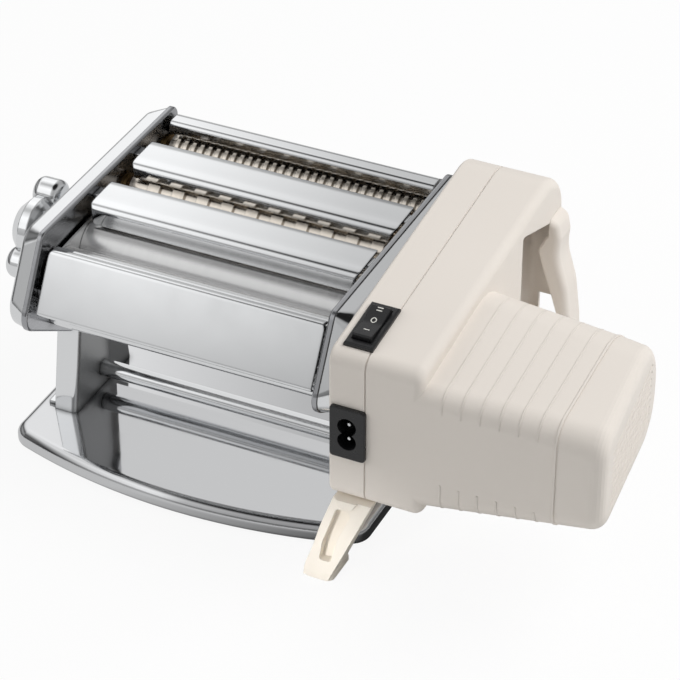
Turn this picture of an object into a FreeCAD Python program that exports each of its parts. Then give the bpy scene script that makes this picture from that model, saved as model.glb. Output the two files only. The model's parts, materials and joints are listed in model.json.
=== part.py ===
import FreeCAD, Part
import math
import os

Vec = FreeCAD.Vector

# Pasta roller machine with a motor unit on its right side, in millimetres.
# Working frame: x = 0 midway between the side plates, y = 0 over the middle of the base, z = 0 on the table.
# The roller axes lie along x, the front cover faces -y. Every solid is moved at the end so that the
# origin is the bottom centre of the whole machine.

# Side plates and covers
PLATE_IN = 80.0
PLATE_THICK = 3.0
PLATE_OUT = PLATE_IN + PLATE_THICK
COVER_OUT = 92.5
COVER_WALL = 1.0
COVER_INSET = 0.7
COVER_TAPER = 1.5
COVER_EDGE_ROUND = 2.5
PLATE_BEAD = 1.2
TOP_Z = 135.3
# Outline of the side plates: (y, z, corner radius), from the front top corner
SIDE_OUTLINE = [(-48.0, TOP_Z, 6.0), (96.5, TOP_Z, 6.0), (101.0, 99.0, 12.0),
                (33.0, 62.0, 5.0), (-26.0, 62.0, 5.0), (-73.0, 91.5, 10.0)]
COVER_FACE_RADII = [15.0, 18.0, 18.0, 8.0, 8.0, 15.0]

# Base tray, its feet and the two channel uprights
BASE_HALF_X = 103.0
BASE_HALF_Y = 72.5
BASE_SIDE_Y = 55.0
BASE_CORNER = 11.0
BASE_TOP = 12.0
BASE_RIM_Z = 1.0
BASE_WALL = 1.2
BASE_EDGE_ROUND = 5.0
BASE_LIP_ROUND = 4.0
BASE_BEAD = 6.0
FOOT_PAD_R = 8.0
FOOT_PAD_X = 84.0
FOOT_PAD_Y = 46.0
UPRIGHT_IN = 78.0
UPRIGHT_OUT = 91.0
UPRIGHT_WALL = 2.0
UPRIGHT_TOP = 62.0
UPRIGHT_BEND = 3.0
UPRIGHT_BOTTOM_Y = 30.7
UPRIGHT_TOP_Y = 22.4
TONGUE_Y = 17.0
TONGUE_TOP = 81.0
ANKLE_OUT = 96.0
TIE_ROD_Z = 23.3
TIE_ROD_R = 4.7
STUD_R = 3.0
NUT_R = 5.2
NUT_THICK = 4.5

# Rollers: positions of the axes and radii
FRONT_Y = -35.5
ROLLER_Z = 106.0
ROLLER_R = 14.0
ROLLER_HALF = 77.0
GAP_MIN = 0.2
ECCENTRIC = 1.414
KNOB_HALF_SWING = math.radians(45.0)
GAP_CHANGE = 2.0 * ECCENTRIC * math.sin(KNOB_HALF_SWING)
REAR_Y = FRONT_Y + 2.0 * ROLLER_R + GAP_MIN + GAP_CHANGE
KNOB_Y = REAR_Y - ECCENTRIC * math.sin(KNOB_HALF_SWING)
KNOB_Z = ROLLER_Z + ECCENTRIC * math.cos(KNOB_HALF_SWING)
CUTTER_Z = 113.5
CUTTER_R = 11.0
CUTTER_CORE_R = 9.3
CUTTER_PAIR = 20.8
CUTTER_HALF = 76.0
COARSE_Y = 19.2
FINE_Y = 63.5
COARSE_PITCH = 14.4
COARSE_DISC = 6.9
COARSE_COUNT = 10
FINE_PITCH = 4.8
FINE_DISC = 2.15
FINE_COUNT = 31
JOURNAL_R = 5.0
DRIVEN_JOURNAL_R = 6.5
RUNNING = 0.1
SOCKET_FLATS = 8.3
HEX_FLATS = 8.0

# Eccentric shaft, its floating bush and the thickness knob
ECC_SHAFT_R = 5.0
ECC_JOURNAL_R = 3.5
BUSH_R = 7.3
HUB_R = 9.5
KNOB_START = 94.0
KNOB_TRAVEL = 4.0
KNOB_END = 118.0
KNOB_NECK_R = 9.0
KNOB_DISC_R = 17.5
WING_R = 8.5
WING_REACH = 20.0
WING_ANGLE = math.radians(40.0)
PIN_RADIUS_POS = 13.0
PIN_R = 1.5
PIN_ANGLE = math.radians(200.0)
SLOT_HALF_W = 1.9
SLOT_END_ROOM = math.radians(4.0)
NOTCH_COUNT = 6

# Gears
PRESSURE = math.radians(25.0)
TOOTH_THIN = 0.18
ROLLER_MODULE = 2.0
ROLLER_TEETH = 14
CUTTER_MODULE = 1.3
CUTTER_TEETH = 16
GEAR_IN = 84.0
GEAR_OUT = 89.5
DRIVE_MODULE = 1.25
DRIVE_TEETH = 28
FRONT_IDLER_TEETH = 17
REAR_IDLER_TEETH = 10
STEP_TEETH = 14
WHEEL_MODULE = 1.0
WHEEL_TEETH = 60
PINION_TEETH = 12

# Motor unit
UNIT_IN = COVER_OUT
UNIT_OUT = 142.0
SEAM_X = 112.2
UNIT_WALL = 2.5
UNIT_FRONT = -76.0
UNIT_BACK = 105.0
UNIT_BOTTOM = 47.0
TOP_SLOPE = 0.113
UNIT_FRONT_TOP = 133.6
UNIT_OUTLINE = [(UNIT_FRONT, UNIT_FRONT_TOP, 8.0),
                (UNIT_BACK, UNIT_FRONT_TOP + TOP_SLOPE * (UNIT_BACK - UNIT_FRONT), 24.0),
                (UNIT_BACK, UNIT_BOTTOM, 14.0), (UNIT_FRONT, UNIT_BOTTOM, 7.0)]
UNIT_EDGE_ROUND = 5.0
NOSE_ROOT_X = 136.2
NOSE_JOIN_X = 211.0
NOSE_END = 235.0
NOSE_ROOT = [(-76.0, 124.0, 9.0), (23.0, 137.5, 27.0), (23.0, 53.0, 20.0), (-76.0, 52.0, 10.0)]
NOSE_TIP = [(-76.0, 123.0, 14.0), (19.0, 132.0, 30.0), (19.0, 69.0, 24.0), (-76.0, 65.0, 14.0)]
NOSE_SLANT = 0.085
NOSE_END_ROUND = 7.0
NOSE_DOME_STEPS = 6
NOSE_PIVOT_Y = UNIT_FRONT + NOSE_END_ROUND
RIB_COUNT = 6
RIB_FIRST_X = 152.0
RIB_PITCH = 9.8
RIB_WIDTH = 0.9
RIB_HEIGHT = 0.25
RING_WIDTH = 1.3
RING_HEIGHT = 0.45
END_GROOVES = 9
END_GROOVE_PITCH = 4.2
END_GROOVE_RISE = 0.1
SEAM_WIDTH = 0.7
SEAM_DEPTH = 0.5
MOTOR_Y = -33.0
MOTOR_Z = 91.0
GEAR_X0 = 97.0
GEAR_X1 = 103.0
CHASSIS_X0 = 109.7
CHASSIS_X1 = SEAM_X
WHEEL_X0 = 113.5
WHEEL_X1 = 118.0

SOLIDS = {}


def yz(x):
    return lambda u, v: Vec(x, u, v)


def xz(y):
    return lambda u, v: Vec(u, y, v)


def xy(z):
    return lambda u, v: Vec(u, v, z)


def outline_wire(corners, place):
    """Closed wire through (u, v, radius) corners, each rounded by a tangent arc."""
    arcs = []
    count = len(corners)
    for i, (u, v, radius) in enumerate(corners):
        before = corners[i - 1]
        after = corners[(i + 1) % count]
        point = Vec(u, v, 0)
        back = (Vec(before[0], before[1], 0) - point).normalize()
        ahead = (Vec(after[0], after[1], 0) - point).normalize()
        if radius <= 0:
            arcs.append((point, None, point))
            continue
        half = back.getAngle(ahead) / 2.0
        cut = radius / math.tan(half)
        inward = (back + ahead).normalize()
        middle = point + inward * (radius / math.sin(half) - radius)
        arcs.append((point + back * cut, middle, point + ahead * cut))
    edges = []
    for i, (start, middle, end) in enumerate(arcs):
        last = arcs[i - 1][2]
        if (start - last).Length > 1e-6:
            edges.append(Part.makeLine(place(last.x, last.y), place(start.x, start.y)))
        if middle is not None:
            points = [place(p.x, p.y) for p in (start, middle, end)]
            edges.append(Part.Arc(*points).toShape())
    return Part.Wire(edges)


def grown(corners, distance):
    """Corners of a closed clockwise outline moved outward by a distance, radii changed to match."""
    result = []
    count = len(corners)
    for i, (u, v, radius) in enumerate(corners):
        point = Vec(u, v, 0)
        before = Vec(*corners[i - 1][:2], 0)
        after = Vec(*corners[(i + 1) % count][:2], 0)
        first = (point - before).normalize()
        second = (after - point).normalize()
        normal = Vec(-first.y, first.x, 0) + Vec(-second.y, second.x, 0)
        moved = point + normal * (2.0 * distance / normal.Length ** 2)
        result.append((moved.x, moved.y, max(radius + distance, 0.3)))
    return result


def strip(path, thick):
    """Closed outline of a bent sheet: a path of (u, v, radius), thickened to its left."""
    points = [Vec(u, v, 0) for u, v, radius in path]
    offset = []
    for i, point in enumerate(points):
        first = (point - points[i - 1]).normalize() if i > 0 else None
        second = (points[i + 1] - point).normalize() if i + 1 < len(points) else None
        first = first or second
        second = second or first
        normal = Vec(-first.y, first.x, 0) + Vec(-second.y, second.x, 0)
        moved = point + normal * (2.0 * thick / normal.Length ** 2)
        turn = first.x * second.y - first.y * second.x
        radius = path[i][2]
        if radius > 0:
            radius = max(radius - thick, 0.2) if turn > 0 else radius + thick
        offset.append((moved.x, moved.y, radius))
    return list(path) + offset[::-1]


def slab_x(corners, x0, x1):
    return Part.Face(outline_wire(corners, yz(x0))).extrude(Vec(x1 - x0, 0, 0))


def slab_y(corners, y0, y1):
    return Part.Face(outline_wire(corners, xz(y0))).extrude(Vec(0, y1 - y0, 0))


def slab_z(corners, z0, z1):
    return Part.Face(outline_wire(corners, xy(z0))).extrude(Vec(0, 0, z1 - z0))


def box(x0, x1, y0, y1, z0, z1):
    return Part.makeBox(x1 - x0, y1 - y0, z1 - z0, Vec(x0, y0, z0))


def rod(x0, x1, y, z, radius):
    return Part.makeCylinder(radius, x1 - x0, Vec(x0, y, z), Vec(1, 0, 0))


def turned(profile, y, z):
    """Solid of revolution about an axis along x, from a closed (x, radius) profile."""
    points = [Vec(x, y, z + radius) for x, radius in profile]
    face = Part.Face(Part.makePolygon(points + [points[0]]))
    return face.revolve(Vec(0, y, z), Vec(1, 0, 0), 360)


def hexagon(x0, x1, y, z, flats):
    corner = flats / math.sqrt(3.0)
    angles = [math.radians(60.0 * k) for k in range(6)]
    points = [Vec(x0, y + corner * math.cos(a), z + corner * math.sin(a)) for a in angles]
    return Part.Face(Part.makePolygon(points + [points[0]])).extrude(Vec(x1 - x0, 0, 0))


def mirrored(shape):
    return shape.mirror(Vec(0, 0, 0), Vec(1, 0, 0))


def rounded(shape, radius, chosen):
    return shape.makeFillet(radius, [edge for edge in shape.Edges if chosen(edge)])


def on_x(x):
    return lambda edge: abs(edge.BoundBox.XMin - x) < 1e-4 and abs(edge.BoundBox.XMax - x) < 1e-4


def on_z(z):
    return lambda edge: abs(edge.BoundBox.ZMin - z) < 1e-4 and abs(edge.BoundBox.ZMax - z) < 1e-4


def fused(shapes):
    return shapes[0].multiFuse(shapes[1:]).removeSplitter()


def mesh_point(first, first_reach, second, second_reach, side):
    """Point at given distances from two centres, above (+1) or below (-1) the line between them."""
    gap_y = second[0] - first[0]
    gap_z = second[1] - first[1]
    gap = math.hypot(gap_y, gap_z)
    along = (first_reach ** 2 - second_reach ** 2 + gap ** 2) / (2.0 * gap)
    off = side * math.sqrt(first_reach ** 2 - along ** 2)
    return (first[0] + (along * gap_y - off * gap_z) / gap, first[1] + (along * gap_z + off * gap_y) / gap)


def mate_phase(center, phase, teeth, mate_center, mate_teeth):
    """Angle of a tooth of the mating gear that puts its gaps over this gear's teeth."""
    line = math.atan2(mate_center[1] - center[1], mate_center[0] - center[0])
    pitch = 2.0 * math.pi / teeth
    mate_pitch = 2.0 * math.pi / mate_teeth
    return line + math.pi + mate_pitch * (0.5 - (phase - line) / pitch)


def gear(teeth, module, center, phase, x0, x1, bore, addendum=0.8):
    """Spur gear with straight-chord involute flanks, thinned for backlash."""
    pitch_r = teeth * module / 2.0
    base_r = pitch_r * math.cos(PRESSURE)
    tip_r = pitch_r + addendum * module
    root_r = pitch_r - (addendum + 0.25) * module
    half_at_pitch = (math.pi * module / 2.0 - TOOTH_THIN) / (2.0 * pitch_r)

    def half_angle(radius):
        angle = math.acos(base_r / max(radius, base_r))
        return half_at_pitch + (math.tan(PRESSURE) - PRESSURE) - (math.tan(angle) - angle)

    flank = [(radius, half_angle(radius)) for radius in (root_r, pitch_r, tip_r)]
    points = []
    for k in range(teeth):
        middle = phase + 2.0 * math.pi * k / teeth
        for radius, half in flank:
            points.append((radius, middle - half))
        for radius, half in flank[::-1]:
            points.append((radius, middle + half))
    ring = [Vec(x0, center[0] + r * math.cos(a), center[1] + r * math.sin(a)) for r, a in points]
    body = Part.Face(Part.makePolygon(ring + [ring[0]])).extrude(Vec(x1 - x0, 0, 0))
    return body.cut(rod(x0 - 1.0, x1 + 1.0, center[0], center[1], bore)) if bore else body


# Places of the gears and drive shafts in the motor unit
SMOOTH_AXIS = (FRONT_Y, ROLLER_Z)
REAR_AXIS = (REAR_Y, ROLLER_Z)
KNOB_AXIS = (KNOB_Y, KNOB_Z)
COARSE_AXIS = (COARSE_Y, CUTTER_Z)
COARSE_REAR_AXIS = (COARSE_Y + CUTTER_PAIR, CUTTER_Z)
FINE_AXIS = (FINE_Y, CUTTER_Z)
FINE_REAR_AXIS = (FINE_Y + CUTTER_PAIR, CUTTER_Z)
MOTOR_AXIS = (MOTOR_Y, MOTOR_Z)
DRIVE_AXES = [SMOOTH_AXIS, COARSE_AXIS, FINE_AXIS]
FRONT_IDLER_REACH = DRIVE_MODULE * (DRIVE_TEETH + FRONT_IDLER_TEETH) / 2.0
REAR_IDLER_REACH = DRIVE_MODULE * (DRIVE_TEETH + REAR_IDLER_TEETH) / 2.0
STEP_REACH = DRIVE_MODULE * (DRIVE_TEETH + STEP_TEETH) / 2.0
WHEEL_REACH = WHEEL_MODULE * (WHEEL_TEETH + PINION_TEETH) / 2.0
FRONT_IDLER_AXIS = mesh_point(SMOOTH_AXIS, FRONT_IDLER_REACH, COARSE_AXIS, FRONT_IDLER_REACH, 1)
REAR_IDLER_AXIS = mesh_point(COARSE_AXIS, REAR_IDLER_REACH, FINE_AXIS, REAR_IDLER_REACH, 1)
STEP_AXIS = mesh_point(MOTOR_AXIS, WHEEL_REACH, COARSE_AXIS, STEP_REACH, -1)
IDLER_PIN_R = 3.0
STEP_SHAFT_R = 4.0
DRIVE_SHAFT_R = 5.0
MOTOR_SHAFT_R = 3.0


def make_base():
    arc_y = BASE_HALF_Y
    front = Part.Arc(Vec(-BASE_HALF_X, -BASE_SIDE_Y, 0), Vec(0, -arc_y, 0), Vec(BASE_HALF_X, -BASE_SIDE_Y, 0))
    back = Part.Arc(Vec(BASE_HALF_X, BASE_SIDE_Y, 0), Vec(0, arc_y, 0), Vec(-BASE_HALF_X, BASE_SIDE_Y, 0))
    right = Part.makeLine(Vec(BASE_HALF_X, -BASE_SIDE_Y, 0), Vec(BASE_HALF_X, BASE_SIDE_Y, 0))
    left = Part.makeLine(Vec(-BASE_HALF_X, BASE_SIDE_Y, 0), Vec(-BASE_HALF_X, -BASE_SIDE_Y, 0))
    wire = Part.Wire([front.toShape(), right, back.toShape(), left])
    solid = Part.Face(wire).extrude(Vec(0, 0, BASE_TOP - BASE_RIM_Z))
    solid.translate(Vec(0, 0, BASE_RIM_Z))

    def is_corner(edge):
        return edge.BoundBox.ZLength > 1.0

    solid = rounded(solid, BASE_CORNER, is_corner)
    middle = (BASE_TOP + BASE_RIM_Z) / 2.0
    inner = solid.slice(Vec(0, 0, 1), middle)[0].makeOffset2D(-BASE_BEAD)
    solid = rounded(solid, BASE_EDGE_ROUND, on_z(BASE_TOP))
    solid = rounded(solid, BASE_LIP_ROUND, on_z(BASE_RIM_Z))
    inner_top = BASE_TOP - BASE_WALL
    hollow = Part.Face(inner).extrude(Vec(0, 0, BASE_TOP))
    hollow.translate(Vec(0, 0, inner_top - hollow.BoundBox.ZMax))
    SOLIDS["base_plate"] = solid.cut(hollow)
    pads = []
    for x in (-FOOT_PAD_X, FOOT_PAD_X):
        for y in (-FOOT_PAD_Y, FOOT_PAD_Y):
            pad = Part.makeCylinder(FOOT_PAD_R, inner_top, Vec(x, y, 0))
            pads.append(rounded(pad, 1.5, on_z(0)))
    SOLIDS["base_feet"] = Part.makeCompound(pads)
    shaft = rod(-UPRIGHT_IN, UPRIGHT_IN, 0, TIE_ROD_Z, TIE_ROD_R)
    stud_reach = UPRIGHT_IN + UPRIGHT_WALL + NUT_THICK + 1.0
    stud = rod(-stud_reach, stud_reach, 0, TIE_ROD_Z, STUD_R)
    SOLIDS["base_tie_rod"] = fused([shaft, stud])


def make_upright():
    """Right upright: a channel open to the outside, with a tongue up the plate and an ankle on the base."""
    side = [(-UPRIGHT_BOTTOM_Y, BASE_TOP, 0), (-UPRIGHT_TOP_Y, UPRIGHT_TOP, 0),
            (UPRIGHT_TOP_Y, UPRIGHT_TOP, 0), (UPRIGHT_BOTTOM_Y, BASE_TOP, 0)]
    channel = slab_x(side, UPRIGHT_IN, UPRIGHT_OUT)

    def is_bend(edge):
        box_ = edge.BoundBox
        return box_.XMax < UPRIGHT_IN + 1e-4 and box_.ZLength > 1.0

    channel = rounded(channel, UPRIGHT_BEND, is_bend)
    inner = [(u - math.copysign(UPRIGHT_WALL, u), v, 0) for u, v, radius in side]
    inner[0] = (inner[0][0], BASE_TOP + UPRIGHT_WALL, 0)
    inner[3] = (inner[3][0], BASE_TOP + UPRIGHT_WALL, 0)
    inner[1] = (inner[1][0], UPRIGHT_TOP + 1.0, 0)
    inner[2] = (inner[2][0], UPRIGHT_TOP + 1.0, 0)
    channel = channel.cut(slab_x(inner, UPRIGHT_IN + UPRIGHT_WALL, UPRIGHT_OUT + 1.0))
    tongue = [(-UPRIGHT_TOP_Y + 2.0, UPRIGHT_TOP - 5.0, 0), (-TONGUE_Y, TONGUE_TOP, 4.0),
              (TONGUE_Y, TONGUE_TOP, 4.0), (UPRIGHT_TOP_Y - 2.0, UPRIGHT_TOP - 5.0, 0)]
    tongue = slab_x(tongue, UPRIGHT_IN, PLATE_IN)
    ankle = box(UPRIGHT_IN + UPRIGHT_WALL, ANKLE_OUT, -UPRIGHT_BOTTOM_Y + UPRIGHT_BEND,
                UPRIGHT_BOTTOM_Y - UPRIGHT_BEND, BASE_TOP, BASE_TOP + UPRIGHT_WALL)
    upright = fused([channel, tongue, ankle])
    holes = [rod(UPRIGHT_IN - 1, PLATE_IN + 1, 0, TIE_ROD_Z, STUD_R)]
    for y, z in TONGUE_BOLTS:
        holes.append(rod(UPRIGHT_IN - 1, PLATE_IN + 1, y, z, STUD_R))
    return upright.cut(Part.makeCompound(holes))


TONGUE_BOLTS = [(-10.0, 72.0), (10.0, 72.0)]
FRAME_RODS = [(-43.5, 82.8), (10.5, 91.0), (52.0, 95.0)]
FRAME_ROD_R = 3.5
BRIDGE_POSTS = [(KNOB_Y, KNOB_Z + 21.0), (KNOB_Y, KNOB_Z - 21.0)]
BRIDGE_X0 = 89.9
BRIDGE_X1 = 91.4


def bearing_list():
    """Every fixed bearing: axis, side (-1 left, +1 right) and journal radius."""
    found = []
    for axis in DRIVE_AXES:
        found.append((axis, -1, JOURNAL_R))
        found.append((axis, 1, DRIVEN_JOURNAL_R))
    for axis in (COARSE_REAR_AXIS, FINE_REAR_AXIS):
        found.append((axis, -1, JOURNAL_R))
        found.append((axis, 1, JOURNAL_R))
    found.append((KNOB_AXIS, -1, ECC_JOURNAL_R))
    return found


def make_plates():
    blank = rounded(slab_x(SIDE_OUTLINE, PLATE_IN, PLATE_OUT), PLATE_BEAD, on_x(PLATE_IN))
    shared = [rod(PLATE_IN - 1, PLATE_OUT + 1, y, z, STUD_R) for y, z in FRAME_RODS + TONGUE_BOLTS]
    cuts = {-1: list(shared), 1: list(shared)}
    rings = []
    for (y, z), side, journal in bearing_list():
        outer = journal + 2.0
        cuts[side].append(rod(PLATE_IN - 1, PLATE_OUT + 1, y, z, outer))
        inner = journal + RUNNING
        flange = outer + 1.5
        profile = [(PLATE_IN - 1.5, inner), (PLATE_OUT + 0.3, inner), (PLATE_OUT + 0.3, outer),
                   (PLATE_IN, outer), (PLATE_IN, flange), (PLATE_IN - 1.5, flange)]
        ring = turned(profile, y, z)
        rings.append(mirrored(ring) if side < 0 else ring)
    hub_hole = rod(PLATE_IN - 1, PLATE_OUT + 1, KNOB_Y, KNOB_Z - ECCENTRIC * 0.85, HUB_R + 2.0)
    cuts[1].append(hub_hole)
    SOLIDS["left_side_plate"] = mirrored(blank.cut(Part.makeCompound(cuts[-1])))
    SOLIDS["right_side_plate"] = blank.cut(Part.makeCompound(cuts[1]))
    SOLIDS["roller_bearings"] = Part.makeCompound(rings)


def cover_shell():
    face = grown(SIDE_OUTLINE, -COVER_TAPER)
    face = [(u, v, radius) for (u, v, old), radius in zip(face, COVER_FACE_RADII)]
    rim = grown(SIDE_OUTLINE, -COVER_INSET)
    outer = Part.makeLoft([outline_wire(rim, yz(PLATE_OUT)), outline_wire(face, yz(COVER_OUT))], True, True)
    outer = rounded(outer, COVER_EDGE_ROUND, on_x(COVER_OUT))
    rim_in = grown(rim, -COVER_WALL)
    face_in = grown(face, -COVER_WALL)
    inner = Part.makeLoft([outline_wire(rim_in, yz(PLATE_OUT)), outline_wire(face_in, yz(COVER_OUT - COVER_WALL))],
                          True, True)
    return outer.cut(rounded(inner, COVER_EDGE_ROUND - COVER_WALL, on_x(COVER_OUT - COVER_WALL)))


def arc_slot(axis, radius, half_width, start, end, x0, x1):
    """Curved slot about an axis along x, with round ends."""
    def at(distance, angle):
        return Vec(x0, axis[0] + distance * math.cos(angle), axis[1] + distance * math.sin(angle))

    def end_cap(angle, step):
        tip = at(radius, angle)
        tip += Vec(0, -math.sin(angle), math.cos(angle)) * (half_width * step)
        return tip

    middle = (start + end) / 2.0
    edges = [Part.Arc(at(radius + half_width, start), at(radius + half_width, middle),
                      at(radius + half_width, end)),
             Part.Arc(at(radius + half_width, end), end_cap(end, 1), at(radius - half_width, end)),
             Part.Arc(at(radius - half_width, end), at(radius - half_width, middle),
                      at(radius - half_width, start)),
             Part.Arc(at(radius - half_width, start), end_cap(start, -1), at(radius + half_width, start))]
    wire = Part.Wire([edge.toShape() for edge in edges])
    return Part.Face(wire).extrude(Vec(x1 - x0, 0, 0))


def make_covers():
    shell = cover_shell()
    wall = (COVER_OUT - COVER_WALL - 0.5, COVER_OUT + 0.5)
    drive_holes = [rod(wall[0], wall[1], y, z, DRIVEN_JOURNAL_R + 1.0) for y, z in DRIVE_AXES]
    SOLIDS["right_side_cover"] = shell.cut(Part.makeCompound(drive_holes))
    left = mirrored(shell)
    shaft_hole = rod(-wall[1], -wall[0], KNOB_Y, KNOB_Z, ECC_JOURNAL_R + 1.0)
    swing = 2.0 * KNOB_HALF_SWING
    start = PIN_ANGLE - swing - SLOT_END_ROOM
    end = PIN_ANGLE + SLOT_END_ROOM
    slot = arc_slot(KNOB_AXIS, PIN_RADIUS_POS, SLOT_HALF_W, start, end, -wall[1], -wall[0])
    notches = []
    for k in range(NOTCH_COUNT):
        angle = PIN_ANGLE - swing * k / (NOTCH_COUNT - 1)
        reach = PIN_RADIUS_POS + SLOT_HALF_W
        notches.append(rod(-wall[1], -wall[0], KNOB_Y + reach * math.cos(angle),
                           KNOB_Z + reach * math.sin(angle), PIN_R * 0.7))
    SOLIDS["left_side_cover"] = left.cut(Part.makeCompound([shaft_hole, slot] + notches))


# Sheet pieces between the side plates: front cover, guide bars and rear cover
SHEET = 1.0
PANEL_HALF = 77.5
PANEL_TAB = 6.0
FRONT_COVER_PATH = [(-61.0, 95.0, 0), (-64.5, 97.0, 1.5), (-47.5, 126.6, 2.2), (-43.6, 126.0, 0.8),
                    (-42.6, 124.8, 0.8), (-39.6, 124.4, 0.8), (-37.8, 121.8, 0)]
FRONT_COVER_PLAN = [(-PANEL_HALF, 90.0, 0.5), (-PANEL_HALF, 127.4, 4.0), (PANEL_HALF, 127.4, 4.0),
                    (PANEL_HALF, 90.0, 0.5)]
BAR_WIDTH = 26.0
BAR_FRONT_ROUND = 6.5
BAR_END_ROUND = 7.0
BAR_TOP = 132.4
BAR_HALF = 76.5
BAR_FRONTS = {"smooth_guide_bar": (-9.5, 121.4), "cutter_guide_bar": (35.0, 124.6)}
REAR_COVER_FRONT = (81.5, 126.0)
REAR_COVER_BACK_Y = 98.0
REAR_COVER_BOTTOM = 101.0


def tabs(y0, y1, z0, z1, inner):
    """A pair of ears that join a sheet piece to both side plates."""
    return [box(inner, PLATE_IN, y0, y1, z0, z1), box(-PLATE_IN, -inner, y0, y1, z0, z1)]


def make_sheets():
    cover = slab_x(strip(FRONT_COVER_PATH, -SHEET), -PANEL_HALF, PANEL_HALF)
    cover = cover.common(slab_y(FRONT_COVER_PLAN, -80.0, -30.0))
    ears = tabs(-57.5, -50.0, 103.0, 108.0, PANEL_HALF - PANEL_TAB)
    SOLIDS["front_cover"] = fused([cover] + ears)
    for name, (y, z) in BAR_FRONTS.items():
        path = [(y, z, 0), (y + 1.5, BAR_TOP - 1.4, BAR_FRONT_ROUND * 0.6), (y + 9.0, BAR_TOP - 0.6, 12.0),
                (y + BAR_WIDTH, BAR_TOP - 0.2, 1.0), (y + BAR_WIDTH + 0.6, BAR_TOP - 2.4, 0)]
        bar = slab_x(strip(path, -SHEET), -BAR_HALF, BAR_HALF)
        plan = [(-BAR_HALF, y - 1.0, BAR_END_ROUND), (-BAR_HALF, y + BAR_WIDTH + 1.0, 2.5),
                (BAR_HALF, y + BAR_WIDTH + 1.0, 2.5), (BAR_HALF, y - 1.0, BAR_END_ROUND)]
        bar = bar.common(slab_z(plan, z - 5.0, BAR_TOP + 2.0))
        ears = tabs(y + 12.0, y + 20.0, BAR_TOP - 3.2, BAR_TOP - SHEET - 0.35, BAR_HALF - PANEL_TAB)
        SOLIDS[name] = fused([bar] + ears)
    y, z = REAR_COVER_FRONT
    path = [(y, z, 0), (y + 1.5, BAR_TOP, 3.0), (REAR_COVER_BACK_Y - 1.5, BAR_TOP, 8.0),
            (REAR_COVER_BACK_Y + 0.5, REAR_COVER_BOTTOM, 0)]
    rear = slab_x(strip(path, -SHEET), -PANEL_HALF, PANEL_HALF)
    ears = tabs(REAR_COVER_BACK_Y - 4.4, REAR_COVER_BACK_Y - 0.3, 103.0, 108.0, PANEL_HALF - 0.7)
    SOLIDS["rear_cover"] = fused([rear] + ears)


GUIDE_IN = 77.2
GUIDE_OUT = 78.4
GUIDE_SIDE = [(-35.5, 110.0, 1.0), (-35.5, 119.6, 1.0), (0.0, 121.2, 1.0), (0.0, 112.0, 1.0)]
GUIDE_LIP = (-27.0, -14.0, 115.8, 117.0)


def make_dough_guides():
    """Upright cheeks at the roller ends that keep the dough from running off sideways."""
    cheek = slab_x(GUIDE_SIDE, GUIDE_IN, GUIDE_OUT)
    lip = box(GUIDE_IN, PLATE_IN, *GUIDE_LIP)
    right = fused([cheek, lip])
    right = right.cut(rod(GUIDE_IN - 1, PLATE_IN + 1, FRONT_Y, ROLLER_Z, DRIVEN_JOURNAL_R + 1.5))
    right = right.cut(rod(GUIDE_IN - 1, PLATE_IN + 1, REAR_Y - GAP_CHANGE / 2.0, ROLLER_Z, HUB_R + 3.0))
    SOLIDS["dough_guides"] = Part.makeCompound([right, mirrored(right)])


def make_frame_fixings():
    rods = []
    nuts = []
    reach = PLATE_OUT + NUT_THICK + 0.8
    for y, z in FRAME_RODS:
        shaft = rod(-PLATE_IN, PLATE_IN, y, z, FRAME_ROD_R + 0.5)
        stud = rod(-reach, reach, y, z, STUD_R)
        rods.append(fused([shaft, stud]))
        nut = hexagon(PLATE_OUT, PLATE_OUT + NUT_THICK, y, z, 2.0 * NUT_R - 1.0).cut(rod(PLATE_OUT - 1, reach, y, z, STUD_R))
        nuts += [nut, mirrored(nut)]
    for y, z in TONGUE_BOLTS:
        head = hexagon(UPRIGHT_IN - 3.0, UPRIGHT_IN, y, z, 2.0 * NUT_R - 1.0)
        shank = rod(UPRIGHT_IN - 1.0, PLATE_OUT + NUT_THICK, y, z, STUD_R)
        nut = hexagon(PLATE_OUT, PLATE_OUT + NUT_THICK, y, z, 2.0 * NUT_R - 1.0)
        bolt = fused([head, shank, nut])
        nuts += [bolt, mirrored(bolt)]
    foot = UPRIGHT_IN + UPRIGHT_WALL
    nut = hexagon(foot, foot + NUT_THICK, 0, TIE_ROD_Z, 2.0 * NUT_R - 1.0)
    nut = nut.cut(rod(foot - 1, foot + NUT_THICK + 1, 0, TIE_ROD_Z, STUD_R))
    nuts += [nut, mirrored(nut)]
    SOLIDS["frame_tie_rods"] = Part.makeCompound(rods)
    SOLIDS["frame_bolts"] = Part.makeCompound(nuts)
    strip_ = box(BRIDGE_X0, BRIDGE_X1, KNOB_Y - 5.5, KNOB_Y + 5.5, KNOB_Z - 24.5, KNOB_Z + 24.5)
    posts = [rod(PLATE_OUT, BRIDGE_X0 + 0.5, y, z, 3.0) for y, z in BRIDGE_POSTS]
    bridge = fused([strip_] + posts)
    SOLIDS["gear_bridge"] = bridge.cut(rod(BRIDGE_X0 - 1, BRIDGE_X1 + 1, KNOB_Y, KNOB_Z, ECC_JOURNAL_R + RUNNING))


SCRAPER = 1.0
COMB_BASE_Z = 97.5
COMB_HALF_Y = 3.0


def make_scrapers():
    front = [(FRONT_Y - 3.0, 83.0, 0), (FRONT_Y - 2.0, 83.0, 0), (FRONT_Y + 3.2, 91.2, 0), (FRONT_Y + 2.2, 91.2, 0)]
    rear = [(REAR_Y + 5.5, 82.0, 0), (REAR_Y - 3.2, 90.4, 0), (REAR_Y - 2.2, 90.4, 0), (REAR_Y + 6.5, 82.0, 0)]
    blades = [slab_x(section, -PLATE_IN, PLATE_IN) for section in (front, rear)]
    SOLIDS["smooth_scrapers"] = Part.makeCompound(blades)


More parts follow.
